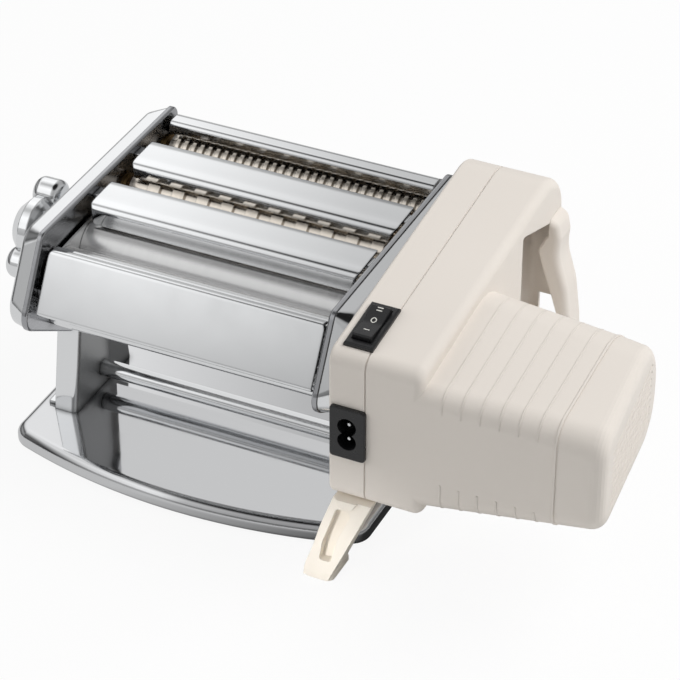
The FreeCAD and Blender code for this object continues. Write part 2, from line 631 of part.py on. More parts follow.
def comb(axis, grooves, width):
    """Stripper comb under a cutter, one tine in each groove."""
    y, z = axis
    base = box(-PLATE_IN, PLATE_IN, y - COMB_HALF_Y, y + COMB_HALF_Y, COMB_BASE_Z, COMB_BASE_Z + SCRAPER)
    top = z - CUTTER_CORE_R - 0.6
    tines = [box(x - width / 2.0, x + width / 2.0, y - SCRAPER / 2.0, y + SCRAPER / 2.0, COMB_BASE_Z, top)
             for x in grooves]
    return fused([base] + tines)


def disc_centres(pitch, count, shifted):
    start = -pitch * (count - 1) / 2.0
    move = pitch / 2.0 if shifted else 0.0
    return [start + pitch * k + move - pitch / 4.0 for k in range(count)]


def cutter(axis, centres, disc, driven):
    """Stepped cutter roller, turned in one piece with its journals."""
    right_r = DRIVEN_JOURNAL_R if driven else JOURNAL_R
    right_end = COVER_OUT - 1.0 if driven else GEAR_IN
    profile = [(-GEAR_OUT, 0), (-GEAR_OUT, JOURNAL_R), (-CUTTER_HALF, JOURNAL_R), (-CUTTER_HALF, CUTTER_CORE_R)]
    for x in centres:
        for step, radius in ((-0.5, CUTTER_CORE_R), (-0.5, CUTTER_R), (0.5, CUTTER_R), (0.5, CUTTER_CORE_R)):
            profile.append((x + step * disc, radius))
    profile += [(CUTTER_HALF, CUTTER_CORE_R), (CUTTER_HALF, right_r), (right_end, right_r), (right_end, 0)]
    solid = turned(profile, *axis)
    if driven:
        solid = solid.cut(hexagon(PLATE_OUT, right_end + 1.0, axis[0], axis[1], SOCKET_FLATS))
    return solid


def make_cutters():
    stations = [("coarse", COARSE_AXIS, COARSE_REAR_AXIS, COARSE_PITCH, COARSE_DISC, COARSE_COUNT),
                ("fine", FINE_AXIS, FINE_REAR_AXIS, FINE_PITCH, FINE_DISC, FINE_COUNT)]
    for name, front, rear, pitch, disc, count in stations:
        front_discs = disc_centres(pitch, count, False)
        rear_discs = disc_centres(pitch, count, True)
        SOLIDS[name + "_cutter_front"] = cutter(front, front_discs, disc, True)
        SOLIDS[name + "_cutter_rear"] = cutter(rear, rear_discs, disc, False)
        tine = pitch - disc - 1.4
        combs = [comb(front, rear_discs[:-1], tine), comb(rear, front_discs[1:], tine)]
        SOLIDS[name + "_combs"] = Part.makeCompound(combs)
        phase = math.pi / 2.0
        SOLIDS[name + "_gear_front"] = gear(CUTTER_TEETH, CUTTER_MODULE, front, phase, -GEAR_OUT, -GEAR_IN, JOURNAL_R)
        mate = mate_phase(front, phase, CUTTER_TEETH, rear, CUTTER_TEETH)
        SOLIDS[name + "_gear_rear"] = gear(CUTTER_TEETH, CUTTER_MODULE, rear, mate, -GEAR_OUT, -GEAR_IN, JOURNAL_R)


def make_smooth_rollers():
    front = turned([(-GEAR_IN, 0), (-GEAR_IN, JOURNAL_R), (-ROLLER_HALF, JOURNAL_R), (-ROLLER_HALF, ROLLER_R),
                    (ROLLER_HALF, ROLLER_R), (ROLLER_HALF, DRIVEN_JOURNAL_R), (COVER_OUT - 1.0, DRIVEN_JOURNAL_R),
                    (COVER_OUT - 1.0, 0)], *SMOOTH_AXIS)
    socket = hexagon(PLATE_OUT, COVER_OUT, *SMOOTH_AXIS, SOCKET_FLATS)
    SOLIDS["front_smooth_roller"] = front.cut(socket)
    bore = BUSH_R + RUNNING
    SOLIDS["rear_smooth_roller"] = turned([(-ROLLER_HALF, bore), (-ROLLER_HALF, ROLLER_R), (ROLLER_HALF, ROLLER_R),
                                           (ROLLER_HALF, HUB_R), (GEAR_OUT, HUB_R), (GEAR_OUT, bore)], *REAR_AXIS)
    phase = 0.0
    SOLIDS["front_roller_gear"] = gear(ROLLER_TEETH, ROLLER_MODULE, SMOOTH_AXIS, phase, GEAR_IN, GEAR_OUT,
                                       DRIVEN_JOURNAL_R, 1.0)
    mate = mate_phase(SMOOTH_AXIS, phase, ROLLER_TEETH, REAR_AXIS, ROLLER_TEETH)
    SOLIDS["rear_roller_gear"] = gear(ROLLER_TEETH, ROLLER_MODULE, REAR_AXIS, mate, GEAR_IN, GEAR_OUT, HUB_R, 1.0)
    SOLIDS["roller_bush"] = turned([(-ROLLER_HALF, ECC_SHAFT_R + RUNNING), (-ROLLER_HALF, BUSH_R),
                                    (GEAR_OUT - 0.5, BUSH_R), (GEAR_OUT - 0.5, ECC_SHAFT_R + RUNNING)], *REAR_AXIS)
    crank = rod(-PLATE_IN + 1.6, GEAR_OUT - 0.5, REAR_Y, ROLLER_Z, ECC_SHAFT_R)
    left = rod(-KNOB_END + 5.0, -PLATE_IN + 2.0, KNOB_Y, KNOB_Z, ECC_JOURNAL_R)
    right = rod(GEAR_OUT - 1.0, BRIDGE_X1, KNOB_Y, KNOB_Z, ECC_JOURNAL_R)
    nut = rod(-KNOB_END + 5.0, -KNOB_END + 8.0, KNOB_Y, KNOB_Z, SPRING_CAVITY_R - 0.7)
    SOLIDS["eccentric_shaft"] = fused([crank, left, right, nut])


SPRING_CAVITY_R = 6.2
SPRING_R = 4.7
SPRING_WIRE_R = 0.5
SPRING_TURNS = 3
CAVITY_START = 101.0


def make_knob():
    """Butterfly knob on the eccentric shaft, pulled out against a spring to change the setting."""
    body = turned([(-KNOB_START, 0), (-KNOB_START, KNOB_NECK_R), (-KNOB_START - 7.0, KNOB_NECK_R),
                   (-KNOB_START - 11.0, KNOB_DISC_R - 2.5), (-KNOB_START - 13.0, KNOB_DISC_R),
                   (-KNOB_START - 18.0, KNOB_DISC_R), (-KNOB_END, KNOB_DISC_R - 6.0), (-KNOB_END, 0)], *KNOB_AXIS)
    wing_x0 = -KNOB_END + 0.5
    wing_x1 = -KNOB_START - 7.0
    lobes = []
    for sign in (1, -1):
        y = KNOB_Y + sign * WING_REACH * math.cos(WING_ANGLE)
        z = KNOB_Z + sign * WING_REACH * math.sin(WING_ANGLE)
        lobe = rod(wing_x0, wing_x1, y, z, WING_R)
        lobes.append(rounded(lobe, 4.5, lambda edge: edge.BoundBox.XLength < 1e-4))
    web = Part.makeBox(wing_x1 - wing_x0 - 8.0, 2.0 * WING_REACH, 11.0, Vec(wing_x0 + 4.0, -WING_REACH, -5.5))
    web.rotate(Vec(0, 0, 0), Vec(1, 0, 0), math.degrees(WING_ANGLE))
    web.translate(Vec(0, KNOB_Y, KNOB_Z))
    knob = fused([body, web] + lobes)
    knob = knob.cut(rod(-KNOB_END, -KNOB_START + 1.0, KNOB_Y, KNOB_Z, ECC_JOURNAL_R + RUNNING))
    knob = knob.cut(rod(-KNOB_END - 1.0, -CAVITY_START, KNOB_Y, KNOB_Z, SPRING_CAVITY_R))
    pin_y = KNOB_Y + PIN_RADIUS_POS * math.cos(PIN_ANGLE)
    pin_z = KNOB_Z + PIN_RADIUS_POS * math.sin(PIN_ANGLE)
    pin = rod(-KNOB_START - 14.0, -COVER_OUT + COVER_WALL + 0.4, pin_y, pin_z, PIN_R)
    SOLIDS["thickness_knob"] = knob.cut(rod(-KNOB_START - 14.0, 0, pin_y, pin_z, PIN_R))
    SOLIDS["index_pin"] = pin
    start = CAVITY_START + KNOB_TRAVEL + 0.3
    end = KNOB_END - 8.0 - 0.3
    rise = (end - start - 2.0 * SPRING_WIRE_R) / SPRING_TURNS
    helix = Part.makeHelix(rise, rise * SPRING_TURNS, SPRING_R)
    section = Part.Wire(Part.makeCircle(SPRING_WIRE_R, Vec(SPRING_R, 0, 0), Vec(0, 1, 0)))
    spring = Part.Wire(helix.Edges).makePipeShell([section], True, True)
    spring.rotate(Vec(0, 0, 0), Vec(0, 1, 0), -90)
    spring.translate(Vec(-start - SPRING_WIRE_R, KNOB_Y, KNOB_Z))
    SOLIDS["knob_spring"] = spring


def nose_corners(x, grow=0.0):
    """Section of the motor nose at x, between its root and its tip."""
    share = (x - UNIT_OUT) / (NOSE_END - UNIT_OUT)
    corners = []
    for root, tip in zip(NOSE_ROOT, NOSE_TIP):
        corners.append(tuple(a + (b - a) * share for a, b in zip(root, tip)))
    return grown(corners, grow) if grow else corners


def nose_wire(x, grow=0.0):
    """Outline of the nose at x; past the join it leans back, so that the end face slants."""
    lean = NOSE_SLANT * max(0.0, (x - NOSE_JOIN_X) / (NOSE_END - NOSE_JOIN_X))
    return outline_wire(nose_corners(x, grow), lambda u, v: Vec(x - lean * (u - NOSE_PIVOT_Y), u, v))


def nose_loft(x0, x1, grow=0.0):
    return Part.makeLoft([nose_wire(x0, grow), nose_wire(x1, grow)], True, True)


def nose_dome():
    """Rounded end of the nose: sections drawn in along a quarter circle."""
    wires = []
    for k in range(NOSE_DOME_STEPS + 1):
        angle = math.pi / 2.0 * k / NOSE_DOME_STEPS
        x = NOSE_END - NOSE_END_ROUND * (1.0 - math.sin(angle))
        wires.append(nose_wire(x, -NOSE_END_ROUND * (1.0 - math.cos(angle))))
    return Part.makeLoft(wires, True, True)


def end_grooves():
    """Parallel grooves across the slanting end face of the nose."""
    cuts = []
    middle_y = -29.0
    middle_z = 95.0
    for k in range(END_GROOVES):
        groove = box(-0.5, 3.0, -34.0, 34.0, -0.55, 0.55)
        groove.rotate(Vec(0, 0, 0), Vec(1, 0, 0), math.degrees(math.atan(END_GROOVE_RISE)))
        groove.rotate(Vec(0, 0, 0), Vec(0, 0, 1), math.degrees(math.atan(NOSE_SLANT)))
        z = middle_z + END_GROOVE_PITCH * (k - (END_GROOVES - 1) / 2.0)
        groove.translate(Vec(NOSE_END - NOSE_SLANT * (middle_y - NOSE_PIVOT_Y), middle_y, z))
        cuts.append(groove)
    return Part.makeCompound(cuts)


POCKET_FLOOR = [(UNIT_OUT + 0.4, 47.0, 0), (126.0, 88.0, 12.0), (126.0, 102.6, 3.0), (UNIT_OUT + 12.0, 102.6, 0),
                (UNIT_OUT + 12.0, 47.0, 0)]
POCKET_SIDE = [(46.0, 58.0, 6.0), (46.0, 139.4, 4.0), (102.6, 120.0, 3.0), (102.6, 58.0, 3.0)]
POCKET_WINDOW = (131.0, UNIT_OUT + 2.0, 100.0, UNIT_BACK + 2.0, 58.0, 70.0)
SWITCH_Y = -53.0
SWITCH_X = 105.3
SWITCH_BEZEL = (15.6, 33.0, 2.2)
SWITCH_BODY = (12.4, 28.0, 11.0)
SWITCH_WELL = (10.6, 25.6, 10.0)
SWITCH_PIVOT_R = 1.5
INLET_X = 103.5
INLET_Z = 88.6
INLET_FLANGE = (19.0, 30.0, 2.2)
INLET_BODY = (15.4, 25.0, 17.0)
INLET_LOBE_R = 5.0
INLET_PIN_SPACING = 8.6
INLET_PIN_R = 1.18
INLET_DEPTH = 12.0
POST_R = 3.0
BOSS_X0 = 219.0
BOSS_X1 = 228.5
MOTOR_SHAFT_END = 225.5
CHASSIS_POSTS = [(-53.0, 119.5), (-53.0, 66.0), (88.0, 128.0), (88.0, 70.0)]
MOTOR_POSTS = [(-52.0, 112.0), (-52.0, 70.0), (-27.0, 112.0), (-27.0, 70.0)]


def switch_frame(shape):
    """Moves a shape built about the origin onto the sloping top of the motor unit."""
    shape.rotate(Vec(0, 0, 0), Vec(1, 0, 0), math.degrees(math.atan(TOP_SLOPE)))
    top = UNIT_FRONT_TOP + TOP_SLOPE * (SWITCH_Y - UNIT_FRONT)
    shape.translate(Vec(SWITCH_X, SWITCH_Y, top))
    return shape


def centred(size, top):
    x, y, z = size
    return Part.makeBox(x, y, z, Vec(-x / 2.0, -y / 2.0, top - z))


def make_switch():
    bezel_thick = SWITCH_BEZEL[2]
    bezel = centred(SWITCH_BEZEL, bezel_thick)
    bezel = rounded(bezel, 1.2, on_z(bezel_thick))
    body = centred(SWITCH_BODY, 0.5)
    well = centred(SWITCH_WELL, bezel_thick + 1.0)
    reach = SWITCH_WELL[0] / 2.0 + 0.6
    pivot_hole = rod(-reach, reach, 0, 0, SWITCH_PIVOT_R + RUNNING)
    SOLIDS["switch_body"] = switch_frame(fused([bezel, body]).cut(well).cut(pivot_hole))
    half = SWITCH_WELL[1] / 2.0 - 0.7
    side = [(-half, 1.0, 0.6), (-half + 0.3, 5.0, 0.8), (0, 3.2, 8.0), (half - 0.3, 5.0, 0.8), (half, 1.0, 0.6),
            (0, -4.5, 3.0)]
    width = SWITCH_WELL[0] / 2.0 - 0.35
    pivot = rod(-reach + 0.15, reach - 0.15, 0, 0, SWITCH_PIVOT_R)
    SOLIDS["switch_rocker"] = switch_frame(fused([slab_x(side, -width, width), pivot]))
    return centred((SWITCH_BODY[0] + 0.2, SWITCH_BODY[1] + 0.2, SWITCH_BODY[2] + 10.0), 8.0)


def make_inlet():
    front = UNIT_FRONT - INLET_FLANGE[2]
    half_x = INLET_FLANGE[0] / 2.0
    half_z = INLET_FLANGE[1] / 2.0
    corners = [(INLET_X - half_x, INLET_Z - half_z, 2.0), (INLET_X - half_x, INLET_Z + half_z, 2.0),
               (INLET_X + half_x, INLET_Z + half_z, 2.0), (INLET_X + half_x, INLET_Z - half_z, 2.0)]
    flange = slab_y(corners, front, UNIT_FRONT)
    flange = rounded(flange, 0.8, lambda edge: edge.BoundBox.YMax < front + 1e-4)
    bx, bz, by = (value / 2.0 for value in INLET_BODY)
    body = box(INLET_X - bx, INLET_X + bx, UNIT_FRONT - 0.5, UNIT_FRONT + 2.0 * by, INLET_Z - bz, INLET_Z + bz)
    solid = fused([flange, body])
    half_gap = INLET_PIN_SPACING / 2.0
    pins = []
    for side in (-1, 1):
        centre = Vec(INLET_X, front - 1.0, INLET_Z + side * half_gap)
        solid = solid.cut(Part.makeCylinder(INLET_LOBE_R, INLET_DEPTH + 1.0, centre, Vec(0, 1, 0)))
        pin_start = Vec(INLET_X, front + 2.5, INLET_Z + side * half_gap)
        pin = Part.makeCylinder(INLET_PIN_R, INLET_DEPTH + 1.0, pin_start, Vec(0, 1, 0))
        pin = rounded(pin, 0.7, lambda edge: edge.BoundBox.YMax < front + 2.6)
        solid = solid.cut(pin)
        pins.append(pin)
    SOLIDS["inlet_body"] = solid
    SOLIDS["inlet_pins"] = Part.makeCompound(pins)
    return box(INLET_X - bx - 0.1, INLET_X + bx + 0.1, UNIT_FRONT - 5.0, UNIT_FRONT + 10.0,
               INLET_Z - bz - 0.1, INLET_Z + bz + 0.1)


def make_housing(switch_hole, inlet_hole):
    """Two-part motor housing split at the seam; the outer part carries the nose."""
    block = slab_x(UNIT_OUTLINE, UNIT_IN, UNIT_OUT)
    block = rounded(block, UNIT_EDGE_ROUND, on_x(UNIT_OUT))
    block = rounded(block, 2.0, on_x(UNIT_IN))
    cavity = slab_x(grown(UNIT_OUTLINE, -UNIT_WALL), UNIT_IN + UNIT_WALL, UNIT_OUT - UNIT_WALL)
    pocket = slab_z(POCKET_FLOOR, 40.0, 160.0).common(slab_x(POCKET_SIDE, 110.0, 160.0))
    wall = slab_z(grown(POCKET_FLOOR, UNIT_WALL), 40.0, 160.0)
    cavity = cavity.cut(wall.common(slab_x(grown(POCKET_SIDE, UNIT_WALL), 110.0, 160.0)))
    groove = slab_x(grown(UNIT_OUTLINE, 1.0), SEAM_X - SEAM_WIDTH / 2.0, SEAM_X + SEAM_WIDTH / 2.0)
    groove = groove.cut(slab_x(grown(UNIT_OUTLINE, -SEAM_DEPTH), SEAM_X - 1.0, SEAM_X + 1.0))
    shell = block.cut(cavity).cut(pocket).cut(box(*POCKET_WINDOW)).cut(groove)
    holes = [switch_frame(switch_hole), inlet_hole]
    holes += [rod(UNIT_IN - 1, UNIT_IN + UNIT_WALL + 3, y, z, DRIVE_SHAFT_R + RUNNING) for y, z in DRIVE_AXES]
    shell = shell.cut(Part.makeCompound(holes))
    left_side = box(UNIT_IN - 1, SEAM_X, -200, 200, 0, 300)
    right_side = box(SEAM_X, UNIT_OUT + 1, -200, 200, 0, 300)
    posts = [rod(UNIT_IN + 1.0, CHASSIS_X0, y, z, POST_R) for y, z in CHASSIS_POSTS]
    SOLIDS["inner_housing"] = fused([shell.common(left_side)] + posts)
    nose_in = nose_loft(NOSE_ROOT_X - 2.0, NOSE_JOIN_X, -UNIT_WALL)
    nose = nose_loft(NOSE_ROOT_X, NOSE_JOIN_X)
    trims = [nose_loft(NOSE_JOIN_X - RING_WIDTH, NOSE_JOIN_X, RING_HEIGHT)]
    ribs_zone = fused([box(UNIT_OUT, NOSE_JOIN_X, -90.0, 8.0, 114.0, 160.0),
                       box(UNIT_OUT, NOSE_JOIN_X, -90.0, 8.0, 40.0, 72.0)])
    for k in range(RIB_COUNT):
        x = RIB_FIRST_X + RIB_PITCH * k
        trims.append(nose_loft(x - RIB_WIDTH / 2.0, x + RIB_WIDTH / 2.0, RIB_HEIGHT).common(ribs_zone))
    outer = fused([shell.common(right_side), nose] + trims)
    SOLIDS["outer_housing"] = outer.cut(nose_in)
    cap = fused([nose_loft(NOSE_JOIN_X, NOSE_END - NOSE_END_ROUND), nose_dome()])
    cap = cap.cut(end_grooves())
    cap_in = nose_loft(NOSE_JOIN_X - 1.0, NOSE_END - NOSE_END_ROUND, -UNIT_WALL - 1.0)
    boss = rod(BOSS_X0, BOSS_X1, MOTOR_Y, MOTOR_Z, 7.0)
    bore = rod(BOSS_X0 - 1.0, MOTOR_SHAFT_END + 0.5, MOTOR_Y, MOTOR_Z, MOTOR_SHAFT_R + RUNNING)
    SOLIDS["nose_cap"] = fused([cap.cut(cap_in), boss]).cut(bore)


def make_gear_train():
    plate = [(-57.0, 123.0, 5.0), (94.0, 138.0, 8.0), (94.0, 62.0, 8.0), (-57.0, 58.0, 5.0)]
    chassis = slab_x(plate, CHASSIS_X0, CHASSIS_X1)
    bores = [rod(CHASSIS_X0 - 1, CHASSIS_X1 + 1, y, z, DRIVE_SHAFT_R + RUNNING) for y, z in DRIVE_AXES]
    bores.append(rod(CHASSIS_X0 - 1, CHASSIS_X1 + 1, *STEP_AXIS, STEP_SHAFT_R + RUNNING))
    bores.append(rod(CHASSIS_X0 - 1, CHASSIS_X1 + 1, *MOTOR_AXIS, MOTOR_SHAFT_R + RUNNING))
    SOLIDS["gearbox_plate"] = chassis.cut(Part.makeCompound(bores))
    pins = [rod(UNIT_IN + UNIT_WALL, CHASSIS_X0, y, z, IDLER_PIN_R) for y, z in (FRONT_IDLER_AXIS, REAR_IDLER_AXIS)]
    pins += [rod(CHASSIS_X1, STATOR_X0, y, z, POST_R) for y, z in MOTOR_POSTS]
    SOLIDS["gearbox_pins"] = Part.makeCompound(pins)
    phases = {"smooth": 0.0}
    idler_front = mate_phase(SMOOTH_AXIS, phases["smooth"], DRIVE_TEETH, FRONT_IDLER_AXIS, FRONT_IDLER_TEETH)
    phases["coarse"] = mate_phase(FRONT_IDLER_AXIS, idler_front, FRONT_IDLER_TEETH, COARSE_AXIS, DRIVE_TEETH)
    idler_rear = mate_phase(COARSE_AXIS, phases["coarse"], DRIVE_TEETH, REAR_IDLER_AXIS, REAR_IDLER_TEETH)
    phases["fine"] = mate_phase(REAR_IDLER_AXIS, idler_rear, REAR_IDLER_TEETH, FINE_AXIS, DRIVE_TEETH)
    for name, axis in zip(("smooth", "coarse", "fine"), DRIVE_AXES):
        wheel = gear(DRIVE_TEETH, DRIVE_MODULE, axis, phases[name], GEAR_X0, GEAR_X1, 0)
        shaft = rod(COVER_OUT + 0.2, CHASSIS_X1, *axis, DRIVE_SHAFT_R)
        key = hexagon(PLATE_OUT + 1.0, COVER_OUT + 1.0, *axis, HEX_FLATS)
        SOLIDS[name + "_drive_gear"] = fused([wheel, shaft, key])
    bore = IDLER_PIN_R + RUNNING
    SOLIDS["front_idler_gear"] = gear(FRONT_IDLER_TEETH, DRIVE_MODULE, FRONT_IDLER_AXIS, idler_front,
                                      GEAR_X0, GEAR_X1, bore)
    SOLIDS["rear_idler_gear"] = gear(REAR_IDLER_TEETH, DRIVE_MODULE, REAR_IDLER_AXIS, idler_rear,
                                     GEAR_X0, GEAR_X1, bore)
    step_phase = mate_phase(COARSE_AXIS, phases["coarse"], DRIVE_TEETH, STEP_AXIS, STEP_TEETH)
    step = gear(STEP_TEETH, DRIVE_MODULE, STEP_AXIS, step_phase, GEAR_X0, GEAR_X1, 0)
    step_shaft = rod(UNIT_IN + UNIT_WALL + 0.1, WHEEL_X1 + 2.0, *STEP_AXIS, STEP_SHAFT_R)
    wheel = gear(WHEEL_TEETH, WHEEL_MODULE, STEP_AXIS, 0.0, WHEEL_X0, WHEEL_X1, STEP_SHAFT_R)
    SOLIDS["reduction_shaft"] = fused([step, step_shaft])
    SOLIDS["reduction_wheel"] = wheel
    pinion_phase = mate_phase(STEP_AXIS, 0.0, WHEEL_TEETH, MOTOR_AXIS, PINION_TEETH)
    SOLIDS["motor_pinion"] = gear(PINION_TEETH, WHEEL_MODULE, MOTOR_AXIS, pinion_phase, WHEEL_X0 - 0.5,
                                  WHEEL_X1 + 0.5, MOTOR_SHAFT_R)


STATOR_X0 = 150.0
STATOR_X1 = 194.0
STATOR_HALF_Y = 28.0
STATOR_HALF_Z = 25.5
ROTOR_R = 17.6
AIR_GAP = 0.5
FAN_X0 = 200.0
FAN_X1 = 208.0
FAN_R = 24.0
FAN_BLADES = 9


def make_motor():
    y0, y1 = MOTOR_Y - STATOR_HALF_Y, MOTOR_Y + STATOR_HALF_Y
    z0, z1 = MOTOR_Z - STATOR_HALF_Z, MOTOR_Z + STATOR_HALF_Z
    stack = slab_x([(y0, z0, 6.0), (y0, z1, 6.0), (y1, z1, 6.0), (y1, z0, 6.0)], STATOR_X0, STATOR_X1)
    bore = rod(STATOR_X0 - 1, STATOR_X1 + 1, *MOTOR_AXIS, ROTOR_R + AIR_GAP)
    SOLIDS["motor_stator"] = stack.cut(bore)
    core = rod(STATOR_X0 + 1.0, STATOR_X1 - 1.0, *MOTOR_AXIS, ROTOR_R)
    shaft = rod(CHASSIS_X0, MOTOR_SHAFT_END, *MOTOR_AXIS, MOTOR_SHAFT_R)
    SOLIDS["motor_rotor"] = fused([core, shaft])
    hub = rod(FAN_X0, FAN_X1, *MOTOR_AXIS, 7.0)
    blade = box(FAN_X0, FAN_X1, 5.0, FAN_R, -0.8, 0.8)
    blades = []
    for k in range(FAN_BLADES):
        turned_blade = blade.copy()
        turned_blade.rotate(Vec(0, 0, 0), Vec(1, 0, 0), 360.0 * k / FAN_BLADES)
        turned_blade.translate(Vec(0, MOTOR_Y, MOTOR_Z))
        blades.append(turned_blade)
    fan = fused([hub] + blades)
    SOLIDS["cooling_fan"] = fan.cut(rod(FAN_X0 - 1, FAN_X1 + 1, *MOTOR_AXIS, MOTOR_SHAFT_R))


HANDLE_Y0 = 84.0
HANDLE_Y1 = 102.2
HANDLE_ROUND = 3.5
HANDLE_INNER_ROUND = 1.5
# Section of the handle strap: (x, z, corner radius), down its outer face and up its inner face
HANDLE_STRAP = [(UNIT_OUT, 128.0, 0), (146.6, 125.4, 5.0), (148.2, 117.0, 6.0), (147.4, 106.0, 30.0),
                (152.8, 88.0, 30.0), (155.6, 66.0, 25.0), (156.3, 53.5, 8.0), (UNIT_OUT, 50.0, 0), (UNIT_OUT, 57.5, 0),
                (147.6, 60.0, 3.0), (148.4, 70.0, 10.0), (144.7, 82.0, 25.0), (139.5, 97.0, 20.0),
                (136.2, 108.5, 6.0), (140.4, 117.4, 3.0), (UNIT_OUT, 118.2, 0)]
# Outline of the leg and of its front recess: (x, z, corner radius)
LEG_SIDE = [(83.2, 0, 0), (84.0, 8.0, 6.0), (86.7, 17.0, 25.0), (90.0, 30.0, 50.0), (95.6, UNIT_BOTTOM, 0),
            (116.3, UNIT_BOTTOM, 0), (96.8, 0, 0)]
LEG_RECESS = [(90.6, 10.5, 1.5), (91.8, 21.0, 20.0), (97.8, 41.0, 2.5), (106.7, 41.0, 2.5), (99.8, 25.0, 20.0),
              (97.0, 10.5, 1.5)]
LEG_FLAP = [(97.2, UNIT_BOTTOM, 0), (108.8, UNIT_BOTTOM, 0), (106.2, 42.4, 1.0), (99.4, 42.4, 1.0)]
LEG_Y0 = -77.0
LEG_Y1 = -65.0
LEG_TOE = -86.0
LEG_DEPTH = 4.5
# Side view of the leg, leaning forward to its toe: (y, z, corner radius)
LEG_LEAN = [(LEG_TOE, 0, 1.0), (LEG_TOE, 5.0, 4.0), (-82.5, 13.0, 14.0), (LEG_Y0, UNIT_BOTTOM, 0),
            (LEG_Y1, UNIT_BOTTOM, 0), (LEG_Y1, 0, 0)]
LEG_PAD = [(82.6, LEG_TOE, 4.0), (82.6, LEG_Y1, 1.0), (99.0, LEG_Y1, 1.0), (99.0, LEG_TOE, 4.0)]
LEG_PAD_THICK = 4.0


def make_handle():
    """Carry handle: a bulging strap over the scooped pocket, its outer rim rounded more than its inner rim."""
    strap = slab_y(HANDLE_STRAP, HANDLE_Y0, HANDLE_Y1)
    inner_reach = 148.3
    outer_top = 147.0

    def is_rim(edge):
        size = edge.BoundBox
        return size.YLength < 1e-4 and abs(size.XMin - UNIT_OUT) > 0.01 and abs(size.XMax - UNIT_OUT) > 0.01

    def is_outer(edge):
        size = edge.BoundBox
        return size.XMax > inner_reach or (size.ZMin > 100.0 and size.XMax > outer_top)

    strap = rounded(strap, HANDLE_ROUND, lambda edge: is_rim(edge) and is_outer(edge))
    SOLIDS["carry_handle"] = rounded(strap, HANDLE_INNER_ROUND, lambda edge: is_rim(edge) and not is_outer(edge))


def make_leg():
    """Front leg: a leaning post with a hollow down its front, a flap under the housing and a toe pad."""
    lean = slab_x(LEG_LEAN, LEG_SIDE[0][0] - 1.0, LEG_SIDE[5][0] + 1.0)
    leg = slab_y(LEG_SIDE, LEG_TOE - 1.0, LEG_Y1).common(lean)
    lean.translate(Vec(0, LEG_DEPTH, 0))
    leg = leg.cut(slab_y(LEG_RECESS, LEG_TOE - 1.0, LEG_Y1).cut(lean))
    flap = slab_y(LEG_FLAP, LEG_Y0 - 1.4, LEG_Y0 + 2.0)
    pad = slab_z(LEG_PAD, 0, LEG_PAD_THICK)
    SOLIDS["support_leg"] = fused([leg, flap, rounded(pad, 1.5, on_z(LEG_PAD_THICK))])


def export_all():
    whole = Part.makeCompound(list(SOLIDS.values()))
    size = whole.optimalBoundingBox(False)
    shift = Vec(-(size.XMin + size.XMax) / 2.0, -(size.YMin + size.YMax) / 2.0, -size.ZMin)
    print("size", round(size.XLength, 3), round(size.YLength, 3), round(size.ZLength, 3))
    print("shift", round(shift.x, 4), round(shift.y, 4), round(shift.z, 4))
    os.makedirs("parts", exist_ok=True)
    for name, shape in SOLIDS.items():
        shape.translate(shift)
        shape.exportStep("parts/" + name + ".step")


make_base()
SOLIDS["right_upright"] = make_upright()
SOLIDS["left_upright"] = mirrored(SOLIDS["right_upright"])
make_plates()
make_covers()
make_sheets()
make_dough_guides()
make_frame_fixings()
make_scrapers()
make_smooth_rollers()
make_cutters()
make_knob()
make_housing(make_switch(), make_inlet())
make_gear_train()
make_motor()
make_handle()
make_leg()
export_all()
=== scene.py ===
"""Looks of a pasta roller machine with a motor unit: materials, switch marks, light and camera."""
import json
import math

import bpy
from mathutils import Matrix, Vector


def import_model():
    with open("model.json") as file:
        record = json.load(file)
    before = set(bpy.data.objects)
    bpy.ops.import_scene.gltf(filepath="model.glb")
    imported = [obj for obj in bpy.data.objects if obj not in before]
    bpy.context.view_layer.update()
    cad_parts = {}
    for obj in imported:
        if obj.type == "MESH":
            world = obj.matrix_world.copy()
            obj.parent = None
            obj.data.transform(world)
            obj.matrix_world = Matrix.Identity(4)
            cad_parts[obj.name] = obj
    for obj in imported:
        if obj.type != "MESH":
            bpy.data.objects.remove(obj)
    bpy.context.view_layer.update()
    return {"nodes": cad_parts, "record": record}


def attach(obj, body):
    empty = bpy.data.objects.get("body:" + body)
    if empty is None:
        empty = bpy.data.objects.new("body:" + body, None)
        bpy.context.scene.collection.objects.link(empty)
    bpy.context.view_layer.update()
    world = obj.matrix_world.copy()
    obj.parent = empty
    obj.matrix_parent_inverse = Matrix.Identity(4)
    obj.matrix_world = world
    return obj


MM = 0.001

# Camera: place in the row frame in millimetres, angles in degrees, far limit of sight in metres
CAMERA_PLACE = (526.35, -1112.5, 937.48)
CAMERA_AZIMUTH = 25.32
CAMERA_ELEVATION = 35.0
CAMERA_LENS = 154.6
CAMERA_SENSOR = 36.0
CAMERA_FAR = 20.0

# Polished faces mirror each other many times over
GLOSSY_BOUNCES = 10

# Square lamps: places and side in metres, power in watts, cone in degrees
LAMPS = {
    "key": {"center": (1.0, 0.5, 1.5), "target": (0.0, 0.0, 0.08), "side": 1.2, "power": 26.0},
    "front": {"center": (-1.2, -0.8, 0.8), "target": (0.0, 0.0, 0.08), "side": 0.9, "power": 6.3},
    "low_front": {
        "center": (-0.10, -0.45, 0.09),
        "target": (0.04, -0.095, 0.012),
        "side": 0.06,
        "power": 0.0095,
        "spread": 14.0,
    },
}
WIDE_SPREAD = 180.0
WORLD_FILL = 0.30
WHITE = (1.0, 1.0, 1.0)

# Floor: side in metres, and the share of plain white that the camera sees
FLOOR_SIZE = 8.0
FLOOR_COLOR = (0.86, 0.86, 0.855)
FLOOR_ROUGH = 0.9
FLOOR_GLOW = 0.92

